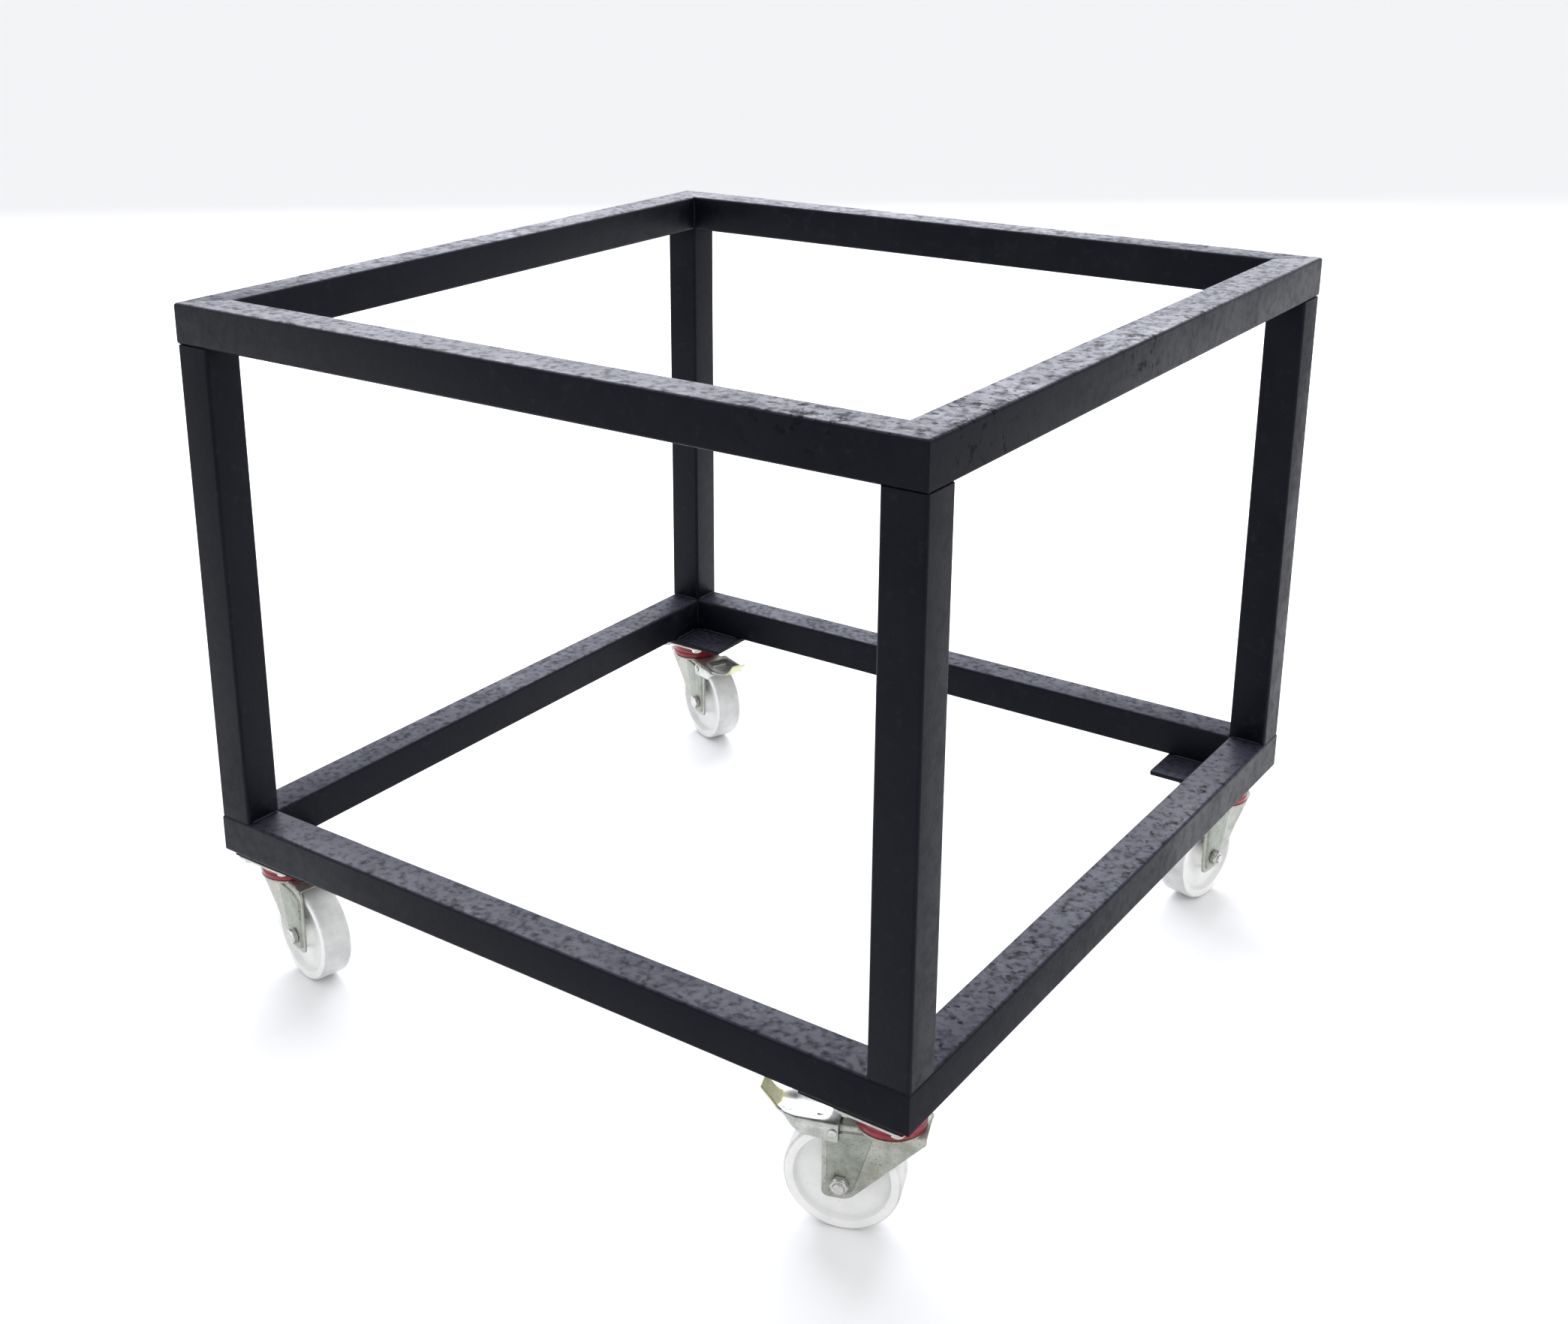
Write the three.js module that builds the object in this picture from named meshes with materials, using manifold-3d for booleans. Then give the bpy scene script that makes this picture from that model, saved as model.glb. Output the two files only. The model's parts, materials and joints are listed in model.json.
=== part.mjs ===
// Engine stand: an open cube of welded square tube on four swivel castors.
// Millimetres, +Z up. The origin is on the ground, under the middle of the frame.

import * as THREE from 'three';
import { mergeVertices } from 'three/addons/utils/BufferGeometryUtils.js';
import Module from 'manifold-3d';

const wasm = await Module();
wasm.setup();

// ---- Driving dimensions ----
const GAP = 0.3; // clearance between pieces that touch
const RUNNING_GAP = 0.9; // around the parts of the swivel head, so that their sides never meet

const FRAME_SIDE = 1000; // outside width and depth of the frame
const FRAME_HEIGHT = 710; // underside of the bottom ring to the top of the top ring
const TUBE = 50; // outside width of the square tube
const WALL = 3;
const TUBE_RADIUS = 4; // rounding of the tube's outside corners
const DECK = 165; // underside of the bottom ring above the ground

const CORNER_PLATE = { width: 124, depth: 106, thickness: 6, insetX: 10, insetY: 6 };

const CASTOR = { x: 447, y: 441 }; // swivel axis, from the middle of the frame, at every corner
const TRAIL = 47; // wheel axle behind the swivel axis
const TOP_PLATE = { width: 85, depth: 105, thickness: 3 };
const BOLT_PATTERN = { x: 60, y: 80, radius: 4.4 };

const WHEEL = { radius: 62.5, width: 38, rim: 11, recess: 9, edge: 3, draft: 2 };
const HUB = { radius: 21, width: 42.6 };
const WHEEL_FACETS = 24;
const HEAD_FACETS = 20; // sides of the round pieces of the swivel head
const PIN_FACETS = 12; // sides of pins and shanks and of their holes
const RIVET_FACETS = 10;
const MERGE = 0.5; // how far shapes of one piece run into each other
const THROUGH = 200; // length of a cutter that runs right through

const CROWN = { radius: 38, thickness: 3, top: 131 };
const LEG = { inside: 22, thickness: 2.5, footRadius: 20, front: -40, shoulder: 124 };
const RIB = { thickness: 2.5, footRadius: 15.5, front: 12, drop: 4 };
const KING_PIN = { radius: 6.7, headRadius: 12, headThickness: 5, chamfer: 2 };
const RACE = { radius: 31, wall: 3, height: 9.4 };
const BALL_RING = { width: 12, chamfer: 3 };
const SEAL = { outside: 37, lip: 6, taper: 2.2, top: 149 };
const AXLE = { radius: 5.9, headRadius: 10, headThickness: 6, nutThickness: 8, end: 3 };
const BUSH_RADIUS = 8;

const BRAKE_HINGE = { x: 55, z: 124, radius: 3 }; // in the castor's own frame
const EAR_TOP = 129.5; // top of the leg round the hinge, under the pedal's web
const CROWN_REAR = 46; // where the crown ends, short of the pedal
const PEDAL = { inside: 27.6, thickness: 2.5, web: 131, rear: 49.5, tip: 119, corner: 22, cheekEnd: 98 };
const TOE = { halfWidth: 12.5, start: 110 };
const SHOE = { length: 12, width: 24, height: 7, centre: 69, sink: 2.7 }; // presses on the tread
const RIVET = { inset: 1.5, stand: 2 }; // inside the leg's inner face, outside the cheek

// The way that each castor trails, in degrees from +X, and whether it has a brake.
const CASTORS = [
  { name: 'front', sideX: 1, sideY: -1, trail: 200, brake: true },
  { name: 'left', sideX: -1, sideY: -1, trail: -13, brake: false },
  { name: 'back', sideX: -1, sideY: 1, trail: -24, brake: true },
  { name: 'right', sideX: 1, sideY: 1, trail: -101, brake: false },
];

// ---- Materials ----
const LOOKS = {
  paint: { color: '#1e2027', roughness: 0.45, metalness: 0.1 },
  zinc: { color: '#8f938a', roughness: 0.4, metalness: 0.85 },
  steel: { color: '#9c9ea0', roughness: 0.3, metalness: 0.9 },
  seal: { color: '#8a0f22', roughness: 0.45, metalness: 0 },
  nylon: { color: '#f1f1ee', roughness: 0.4, metalness: 0 },
};

// ---- Helpers ----
const stand = new THREE.Group();

function addMesh(parent, name, geometry, look) {
  const mesh = new THREE.Mesh(geometry, new THREE.MeshStandardMaterial(LOOKS[look]));
  mesh.name = name;
  parent.add(mesh);
  return mesh;
}

function toSolid(geometry) {
  const bare = geometry.clone();
  bare.deleteAttribute('normal');
  bare.deleteAttribute('uv');
  const merged = mergeVertices(bare, 1e-4);
  return new wasm.Manifold(new wasm.Mesh({
    numProp: 3,
    vertProperties: new Float32Array(merged.attributes.position.array),
    triVerts: new Uint32Array(merged.index.array),
  }));
}

function toGeometry(solid) {
  const mesh = solid.getMesh();
  const geometry = new THREE.BufferGeometry();
  geometry.setAttribute('position', new THREE.BufferAttribute(new Float32Array(mesh.vertProperties), 3));
  geometry.setIndex(new THREE.BufferAttribute(new Uint32Array(mesh.triVerts), 1));
  return geometry;
}

// Joins the first list of geometries, then cuts away the second.
function combine(added, removed = []) {
  const [first, ...rest] = added.map(toSolid);
  const joined = rest.reduce((whole, piece) => whole.add(piece), first);
  return toGeometry(removed.map(toSolid).reduce((whole, piece) => whole.subtract(piece), joined));
}

function extrude(shape, depth, segments = 6) {
  return new THREE.ExtrudeGeometry(shape, { depth, bevelEnabled: false, curveSegments: segments });
}

// An outline in the castor's X and Z, as a slab between two values of Y.
function sideSlab(shape, yLow, yHigh, segments = 6) {
  return extrude(shape, yHigh - yLow, segments).rotateX(Math.PI / 2).translate(0, yHigh, 0);
}

// A turned solid about the Z axis from [radius, height] points; the profile closes on itself.
function turned(points, segments) {
  const closed = [...points, points[0]].map(([radius, height]) => new THREE.Vector2(radius, height));
  return new THREE.LatheGeometry(closed, segments).rotateX(Math.PI / 2);
}

// A straight rod on the swivel axis, about a height.
function uprightRod(radius, length, z, segments = PIN_FACETS) {
  return new THREE.CylinderGeometry(radius, radius, length, segments).rotateX(Math.PI / 2).translate(0, 0, z);
}

// A straight rod along the castor's Y axis.
function crossRod(radius, length, x, z, segments = PIN_FACETS) {
  return new THREE.CylinderGeometry(radius, radius, length, segments).translate(x, 0, z);
}

function polygon(points) {
  return new THREE.Shape(points.map(([x, y]) => new THREE.Vector2(x, y)));
}

function roundHole(x, y, radius) {
  return new THREE.Path().absarc(x, y, radius, 0, 2 * Math.PI, true);
}

// ---- Frame ----
function tubeSection() {
  const half = TUBE / 2;
  const straight = half - TUBE_RADIUS;
  const section = new THREE.Shape();
  section.absarc(straight, straight, TUBE_RADIUS, 0, Math.PI / 2);
  section.absarc(-straight, straight, TUBE_RADIUS, Math.PI / 2, Math.PI);
  section.absarc(-straight, -straight, TUBE_RADIUS, Math.PI, 1.5 * Math.PI);
  section.absarc(straight, -straight, TUBE_RADIUS, 1.5 * Math.PI, 2 * Math.PI);
  const bore = half - WALL;
  section.holes.push(polygon([[-bore, -bore], [-bore, bore], [bore, bore], [bore, -bore]]));
  return section;
}

// A rail along X whose outside face is at -Y, with both ends mitred at 45 degrees.
function mitredRail() {
  const geometry = extrude(tubeSection(), 2, 2).translate(0, 0, -1).rotateY(Math.PI / 2);
  const reach = (FRAME_SIDE - TUBE) / 2 - GAP * Math.SQRT1_2;
  const position = geometry.attributes.position;
  for (let i = 0; i < position.count; i += 1) {
    const end = Math.sign(position.getX(i));
    position.setX(i, end * (reach - position.getY(i)));
  }
  return geometry;
}

const railCentre = (FRAME_SIDE - TUBE) / 2;
const RAIL_SIDES = ['front', 'right', 'back', 'left'];
const RINGS = [
  { name: 'bottom', height: DECK + TUBE / 2 },
  { name: 'top', height: DECK + FRAME_HEIGHT - TUBE / 2 },
];

for (const ring of RINGS) {
  RAIL_SIDES.forEach((side, quarter) => {
    const turn = new THREE.Group();
    turn.rotation.z = quarter * Math.PI / 2;
    const rail = addMesh(turn, `${ring.name}_rail_${side}`, mitredRail(), 'paint');
    rail.position.set(0, -railCentre, ring.height);
    stand.add(turn);
  });
}

const postLength = FRAME_HEIGHT - 2 * TUBE - 2 * GAP;
for (const corner of CASTORS) {
  const post = addMesh(stand, `post_${corner.name}`, extrude(tubeSection(), postLength, 2), 'paint');
  post.position.set(corner.sideX * railCentre, corner.sideY * railCentre, DECK + TUBE + GAP);
}

function drilledPlate(plate, holeX, holeY) {
  const outline = polygon([
    [-plate.width / 2, -plate.depth / 2],
    [plate.width / 2, -plate.depth / 2],
    [plate.width / 2, plate.depth / 2],
    [-plate.width / 2, plate.depth / 2],
  ]);
  for (const x of [-BOLT_PATTERN.x / 2, BOLT_PATTERN.x / 2]) {
    for (const y of [-BOLT_PATTERN.y / 2, BOLT_PATTERN.y / 2]) {
      outline.holes.push(roundHole(holeX + x, holeY + y, BOLT_PATTERN.radius));
    }
  }
  return extrude(outline, plate.thickness, 3);
}

const cornerPlateTop = DECK - GAP;
const cornerPlateBottom = cornerPlateTop - CORNER_PLATE.thickness;
const plateX = FRAME_SIDE / 2 - CORNER_PLATE.insetX - CORNER_PLATE.width / 2;
const plateY = FRAME_SIDE / 2 - CORNER_PLATE.insetY - CORNER_PLATE.depth / 2;

for (const corner of CASTORS) {
  const holeX = corner.sideX * (CASTOR.x - plateX);
  const holeY = corner.sideY * (CASTOR.y - plateY);
  const geometry = drilledPlate(CORNER_PLATE, holeX, holeY);
  const plate = addMesh(stand, `corner_plate_${corner.name}`, geometry, 'paint');
  plate.position.set(corner.sideX * plateX, corner.sideY * plateY, cornerPlateBottom);
}

// ---- Castor pieces: X points the way the castor trails, Z is up from the ground ----
const topPlateTop = cornerPlateBottom - GAP;
const topPlateBottom = topPlateTop - TOP_PLATE.thickness;
const raceBottom = topPlateBottom - RACE.height;
const axleHeight = WHEEL.radius;
const legOutside = LEG.inside + LEG.thickness;
const ribOutside = legOutside + RIB.thickness;

// The plate and the pressed upper race under it, cut through for the king pin.
function topPlate() {
  const plate = drilledPlate(TOP_PLATE, 0, 0).translate(0, 0, topPlateBottom);
  const race = turned([
    [KING_PIN.radius / 2, topPlateBottom + MERGE],
    [KING_PIN.radius / 2, topPlateBottom - RACE.wall],
    [RACE.radius - RACE.wall, topPlateBottom - RACE.wall],
    [RACE.radius - RACE.wall, raceBottom],
    [RACE.radius, raceBottom],
    [RACE.radius, topPlateBottom + MERGE],
  ], HEAD_FACETS);
  return combine([plate, race], [uprightRod(KING_PIN.radius + GAP, 2 * RACE.height, topPlateTop)]);
}

function kingPin() {
  const headTop = CROWN.top - CROWN.thickness - GAP;
  return new THREE.LatheGeometry([
    new THREE.Vector2(0, headTop - KING_PIN.headThickness),
    new THREE.Vector2(KING_PIN.headRadius - KING_PIN.chamfer, headTop - KING_PIN.headThickness),
    new THREE.Vector2(KING_PIN.headRadius, headTop - KING_PIN.headThickness + KING_PIN.chamfer),
    new THREE.Vector2(KING_PIN.headRadius, headTop),
    new THREE.Vector2(KING_PIN.radius, headTop),
    new THREE.Vector2(KING_PIN.radius, topPlateTop - GAP),
    new THREE.Vector2(0, topPlateTop - GAP),
  ], PIN_FACETS).rotateX(Math.PI / 2);
}

// The ball ring inside the race, standing on the fork's crown.
function ballRing() {
  const outside = RACE.radius - RACE.wall - RUNNING_GAP;
  const inside = outside - BALL_RING.width;
  const top = topPlateBottom - RACE.wall - GAP;
  return turned([
    [inside, CROWN.top + GAP],
    [outside, CROWN.top + GAP],
    [outside, top - BALL_RING.chamfer],
    [outside - BALL_RING.chamfer, top],
    [inside, top],
  ], HEAD_FACETS);
}

// The flexible ring that closes the ball race against dirt.
function dustSeal() {
  const inside = RACE.radius + RUNNING_GAP;
  return turned([
    [inside, CROWN.top + GAP],
    [SEAL.outside, CROWN.top + GAP],
    [SEAL.outside, CROWN.top + SEAL.lip],
    [SEAL.outside - SEAL.taper, SEAL.top],
    [inside, SEAL.top],
  ], HEAD_FACETS);
}

// The angle on a circle about the axle at which a line from (x, z) touches its underside.
function tangentAngle(x, z, radius) {
  const dx = TRAIL - x;
  const dz = axleHeight - z;
  const lean = Math.atan2(dz, dx) - Math.asin(radius / Math.hypot(dx, dz));
  return lean - Math.PI / 2;
}

function legOutline() {
  const rear = TRAIL + LEG.footRadius;
  const touch = tangentAngle(LEG.front, LEG.shoulder, LEG.footRadius);
  const outline = new THREE.Shape();
  outline.moveTo(LEG.front, CROWN.top);
  outline.lineTo(LEG.front, LEG.shoulder);
  outline.absarc(TRAIL, axleHeight, LEG.footRadius, touch, 0);
  outline.lineTo(rear, BRAKE_HINGE.z - BRAKE_HINGE.radius);
  outline.lineTo(BRAKE_HINGE.x + 2 * BRAKE_HINGE.radius, EAR_TOP);
  outline.lineTo(CROWN_REAR + 4, EAR_TOP);
  outline.lineTo(CROWN_REAR, CROWN.top);
  return outline;
}

// The tapered rib pressed into the outside of each leg, from the crown to the axle.
function ribOutline() {
  const top = CROWN.top - RIB.drop;
  const touch = tangentAngle(RIB.front, top, RIB.footRadius);
  const outline = new THREE.Shape();
  outline.moveTo(RIB.front, top);
  outline.absarc(TRAIL, axleHeight, RIB.footRadius, touch, 0);
  outline.lineTo(TRAIL + RIB.footRadius, BRAKE_HINGE.z - 2 * BRAKE_HINGE.radius);
  outline.lineTo(TRAIL, top - BRAKE_HINGE.radius);
  return outline;
}

function hingeHole() {
  return crossRod(BRAKE_HINGE.radius + GAP, THROUGH, BRAKE_HINGE.x, BRAKE_HINGE.z, RIVET_FACETS);
}

function fork(brake) {
  const crownMiddle = CROWN.top - CROWN.thickness / 2;
  const disc = uprightRod(CROWN.radius, CROWN.thickness, crownMiddle, HEAD_FACETS);
  const web = new THREE.BoxGeometry(CROWN_REAR - LEG.front, 2 * legOutside, CROWN.thickness)
    .translate((CROWN_REAR + LEG.front) / 2, 0, crownMiddle);
  const legs = [
    sideSlab(legOutline(), LEG.inside, legOutside, 5),
    sideSlab(legOutline(), -legOutside, -LEG.inside, 5),
    sideSlab(ribOutline(), legOutside - MERGE, ribOutside, 5),
    sideSlab(ribOutline(), -ribOutside, -legOutside + MERGE, 5),
  ];
  const cuts = [
    crossRod(AXLE.radius + GAP, THROUGH, TRAIL, axleHeight),
    uprightRod(KING_PIN.radius + GAP, 4 * CROWN.thickness, CROWN.top),
  ];
  if (brake) {
    cuts.push(hingeHole());
  }
  return combine([disc, web, ...legs], cuts);
}

function axleBolt() {
  const shankEnd = ribOutside + GAP + AXLE.nutThickness + AXLE.end;
  const headInner = ribOutside + GAP;
  const head = new THREE.CylinderGeometry(AXLE.headRadius, AXLE.headRadius, AXLE.headThickness, 6)
    .translate(TRAIL, -headInner - AXLE.headThickness / 2, axleHeight);
  const shankLength = shankEnd + headInner + MERGE;
  const shank = crossRod(AXLE.radius, shankLength, TRAIL, axleHeight)
    .translate(0, shankEnd - shankLength / 2, 0);
  return combine([head, shank]);
}

function axleNut() {
  const middle = ribOutside + GAP + AXLE.nutThickness / 2;
  const body = new THREE.CylinderGeometry(AXLE.headRadius, AXLE.headRadius, AXLE.nutThickness, 6)
    .translate(TRAIL, middle, axleHeight);
  return combine([body], [crossRod(AXLE.radius + GAP, THROUGH, TRAIL, axleHeight)]);
}

function axleBush() {
  const half = LEG.inside - GAP;
  return turned([
    [AXLE.radius + GAP, -half],
    [BUSH_RADIUS, -half],
    [BUSH_RADIUS, half],
    [AXLE.radius + GAP, half],
  ], PIN_FACETS).rotateX(Math.PI / 2).translate(TRAIL, 0, axleHeight);
}

// The rim is flat-sided underneath, so a facet of the tread rests level on the ground.
function wheel() {
  const tread = WHEEL.radius / Math.cos(Math.PI / WHEEL_FACETS);
  const half = WHEEL.width / 2;
  const hub = HUB.width / 2;
  const rim = tread - WHEEL.rim;
  const web = half - WHEEL.recess;
  return turned([
    [BUSH_RADIUS + GAP, -hub],
    [HUB.radius - WHEEL.draft, -hub],
    [HUB.radius, -web],
    [rim - WHEEL.draft, -web],
    [rim, -half],
    [tread - WHEEL.edge, -half],
    [tread, -half + WHEEL.edge],
    [tread, half - WHEEL.edge],
    [tread - WHEEL.edge, half],
    [rim, half],
    [rim - WHEEL.draft, web],
    [HUB.radius, web],
    [HUB.radius - WHEEL.draft, hub],
    [BUSH_RADIUS + GAP, hub],
  ], WHEEL_FACETS)
    .rotateZ(Math.PI / WHEEL_FACETS)
    .rotateX(Math.PI / 2)
    .translate(TRAIL, 0, axleHeight);
}

// ---- Brake ----
// The pedal's top sheet, seen from above: straight sides that round in to the toe.
function pedalPlan() {
  const outside = PEDAL.inside + PEDAL.thickness;
  const plan = new THREE.Shape();
  plan.moveTo(PEDAL.rear, -outside);
  plan.lineTo(PEDAL.tip - PEDAL.corner, -outside);
  plan.quadraticCurveTo(PEDAL.tip, -outside, PEDAL.tip, 1 - TOE.halfWidth);
  plan.lineTo(PEDAL.tip, TOE.halfWidth - 1);
  plan.quadraticCurveTo(PEDAL.tip, outside, PEDAL.tip - PEDAL.corner, outside);
  plan.lineTo(PEDAL.rear, outside);
  return plan;
}

// The cheek and the toe are outlines in the castor's X and Z.
const pedalTop = PEDAL.web + PEDAL.thickness;
const CHEEK = [
  [PEDAL.rear, pedalTop - 1],
  [PEDAL.rear, 119],
  [BRAKE_HINGE.x, 115],
  [73, 113],
  [89, 116],
  [PEDAL.cheekEnd, PEDAL.web + 1],
  [PEDAL.cheekEnd, pedalTop - 1],
];
const TOE_SIDE = [
  [TOE.start, PEDAL.web + MERGE],
  [PEDAL.tip, PEDAL.web + MERGE],
  [128, 138],
  [135, 149],
  [132.8, 150.3],
  [126, 140],
  [PEDAL.tip - 1, pedalTop - MERGE],
  [TOE.start, pedalTop - MERGE],
];

function brakePedal() {
  const outside = PEDAL.inside + PEDAL.thickness;
  const shoe = new THREE.BoxGeometry(SHOE.length, SHOE.width, SHOE.height)
    .translate(SHOE.centre, 0, PEDAL.web - SHOE.sink);
  return combine([
    extrude(pedalPlan(), PEDAL.thickness, 5).translate(0, 0, PEDAL.web),
    sideSlab(polygon(CHEEK), PEDAL.inside, outside),
    sideSlab(polygon(CHEEK), -outside, -PEDAL.inside),
    sideSlab(polygon(TOE_SIDE), -TOE.halfWidth, TOE.halfWidth),
    shoe,
  ], [hingeHole()]);
}

// One short rivet through a cheek and a leg, clear of the wheel's side.
function brakeRivet(side) {
  const inner = LEG.inside - RIVET.inset;
  const outer = PEDAL.inside + PEDAL.thickness + RIVET.stand;
  return crossRod(BRAKE_HINGE.radius, outer - inner, BRAKE_HINGE.x, BRAKE_HINGE.z, RIVET_FACETS)
    .translate(0, side * (inner + outer) / 2, 0);
}

// ---- Castors in place ----
for (const castor of CASTORS) {
  const fixed = new THREE.Group();
  fixed.position.set(castor.sideX * CASTOR.x, castor.sideY * CASTOR.y, 0);
  addMesh(fixed, `${castor.name}_castor_plate`, topPlate(), 'zinc');
  addMesh(fixed, `${castor.name}_king_pin`, kingPin(), 'steel');
  const swivel = new THREE.Group();
  swivel.rotation.z = THREE.MathUtils.degToRad(castor.trail);
  addMesh(swivel, `${castor.name}_ball_ring`, ballRing(), 'steel');
  addMesh(swivel, `${castor.name}_dust_seal`, dustSeal(), 'seal');
  addMesh(swivel, `${castor.name}_fork`, fork(castor.brake), 'zinc');
  addMesh(swivel, `${castor.name}_axle_bolt`, axleBolt(), 'steel');
  addMesh(swivel, `${castor.name}_axle_nut`, axleNut(), 'steel');
  addMesh(swivel, `${castor.name}_axle_bush`, axleBush(), 'steel');
  addMesh(swivel, `${castor.name}_wheel`, wheel(), 'nylon');
  if (castor.brake) {
    addMesh(swivel, `${castor.name}_brake_pedal`, brakePedal(), 'zinc');
    addMesh(swivel, `${castor.name}_brake_rivet_a`, brakeRivet(-1), 'steel');
    addMesh(swivel, `${castor.name}_brake_rivet_b`, brakeRivet(1), 'steel');
  }
  fixed.add(swivel);
  stand.add(fixed);
}

export default stand;
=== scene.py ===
"""Engine stand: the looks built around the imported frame. Metres, +Z up."""

import json
import math
import random

import bmesh
import bpy
from mathutils import Matrix, Vector


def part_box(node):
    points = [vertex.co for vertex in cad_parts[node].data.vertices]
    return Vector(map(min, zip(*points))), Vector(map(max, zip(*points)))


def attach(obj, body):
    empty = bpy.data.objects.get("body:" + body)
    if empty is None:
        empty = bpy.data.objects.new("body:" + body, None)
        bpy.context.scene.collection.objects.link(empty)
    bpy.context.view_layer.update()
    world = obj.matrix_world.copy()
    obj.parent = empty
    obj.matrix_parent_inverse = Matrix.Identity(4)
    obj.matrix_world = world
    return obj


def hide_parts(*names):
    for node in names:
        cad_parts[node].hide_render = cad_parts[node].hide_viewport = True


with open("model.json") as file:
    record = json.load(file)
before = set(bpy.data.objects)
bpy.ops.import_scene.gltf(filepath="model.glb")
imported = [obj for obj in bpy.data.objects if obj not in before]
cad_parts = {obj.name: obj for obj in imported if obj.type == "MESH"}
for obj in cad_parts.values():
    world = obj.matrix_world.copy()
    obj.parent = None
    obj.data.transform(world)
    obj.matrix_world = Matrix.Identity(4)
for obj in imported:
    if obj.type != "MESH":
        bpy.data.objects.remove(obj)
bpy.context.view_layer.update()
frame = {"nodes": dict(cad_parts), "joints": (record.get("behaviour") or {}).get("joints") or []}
scene = bpy.context.scene
MM = 0.001

CASTOR_NAMES = ("front", "left", "back", "right")
RAIL_SIDES = ("front", "right", "back", "left")


# ---------------------------------------------------------------- camera
CAMERA_ANGLES = (36.39, 18.08, -0.51)  # azimuth, elevation and roll, in degrees
CAMERA_AIM = (-0.1349, 0.0235, 0.4)  # from the middle of the frame, at its underside
CAMERA_DISTANCE = 2.4694
CAMERA_LENS = 43.21
CAMERA_SHIFT = (0.0554, -0.1050)


def make_camera():
    """A camera at a place given by its azimuth, elevation and roll, aimed past the frame's middle."""
    azimuth, elevation, roll = (math.radians(a) for a in CAMERA_ANGLES)
    aim_x, aim_y, aim_z = CAMERA_AIM
    target = Vector((aim_x, aim_y, aim_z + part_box("bottom_rail_front")[0].z))
    back = Vector((
        math.sin(azimuth) * math.cos(elevation),
        -math.cos(azimuth) * math.cos(elevation),
        math.sin(elevation),
    ))
    right = Vector((0, 0, 1)).cross(back).normalized()
    up = back.cross(right)
    rolled_right = right * math.cos(roll) + up * math.sin(roll)
    rolled_up = up * math.cos(roll) - right * math.sin(roll)
    rotation = Matrix((rolled_right, rolled_up, back)).transposed()
    data = bpy.data.cameras.new("camera")
    data.lens = CAMERA_LENS
    data.sensor_width = 36.0
    data.shift_x, data.shift_y = CAMERA_SHIFT
    camera = bpy.data.objects.new("camera", data)
    camera.matrix_world = Matrix.Translation(target + back * CAMERA_DISTANCE) @ rotation.to_4x4()
    scene.collection.objects.link(camera)
    scene.camera = camera


make_camera()


# ---------------------------------------------------------------- light and floor
SKY = (0.97, 0.975, 1.0, 1)
SKY_STRENGTH = 1.02
FLOOR_HALF = 30.0
FLOOR_COLOUR = (0.90, 0.90, 0.90, 1)
FLOOR_ROUGHNESS = 0.9


def area_light(name, location, aim, size, power, colour):
    """A soft rectangular light that the camera doesn't see."""
    data = bpy.data.lights.new(name, "AREA")
    data.shape = "RECTANGLE"
    data.size, data.size_y = size
    data.energy = power
    data.color = colour
    lamp = bpy.data.objects.new(name, data)
    lamp.location = location
    lamp.rotation_euler = (Vector(aim) - Vector(location)).to_track_quat("-Z", "Y").to_euler()
    lamp.visible_camera = False
    scene.collection.objects.link(lamp)


def make_stage():
    """A white surround, a light overhead, one behind for the sheen, one beside, and a pale floor."""
    world = bpy.data.worlds.new("studio")
    scene.world = world
    world.use_nodes = True
    sky = world.node_tree.nodes["Background"].inputs
    sky["Color"].default_value = SKY
    sky["Strength"].default_value = SKY_STRENGTH
    area_light("overhead", (-0.6, 0.8, 3.4), (0, 0, 0.4), (4.0, 3.0), 30, (0.93, 0.94, 1.0))
    area_light("sheen", (-2.6, 3.5, 2.9), (0, 0, 0.4), (6.0, 1.6), 380, (0.90, 0.91, 1.0))
    area_light("side", (3.4, 1.2, 1.5), (0, 0, 0.4), (1.8, 1.6), 12, (1.0, 0.98, 0.95))
    scene.view_settings.view_transform = "Standard"

    mesh = bpy.data.meshes.new("floor")
    corners = [(x * FLOOR_HALF, y * FLOOR_HALF, 0) for x, y in ((-1, -1), (1, -1), (1, 1), (-1, 1))]
    mesh.from_pydata(corners, [], [(0, 1, 2, 3)])
    floor = bpy.data.objects.new("floor", mesh)
    scene.collection.objects.link(floor)
    material = bpy.data.materials.new("floor")
    material.use_nodes = True
    shader = material.node_tree.nodes["Principled BSDF"]
    shader.inputs["Base Color"].default_value = FLOOR_COLOUR
    shader.inputs["Roughness"].default_value = FLOOR_ROUGHNESS
    floor.data.materials.append(material)


make_stage()


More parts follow.
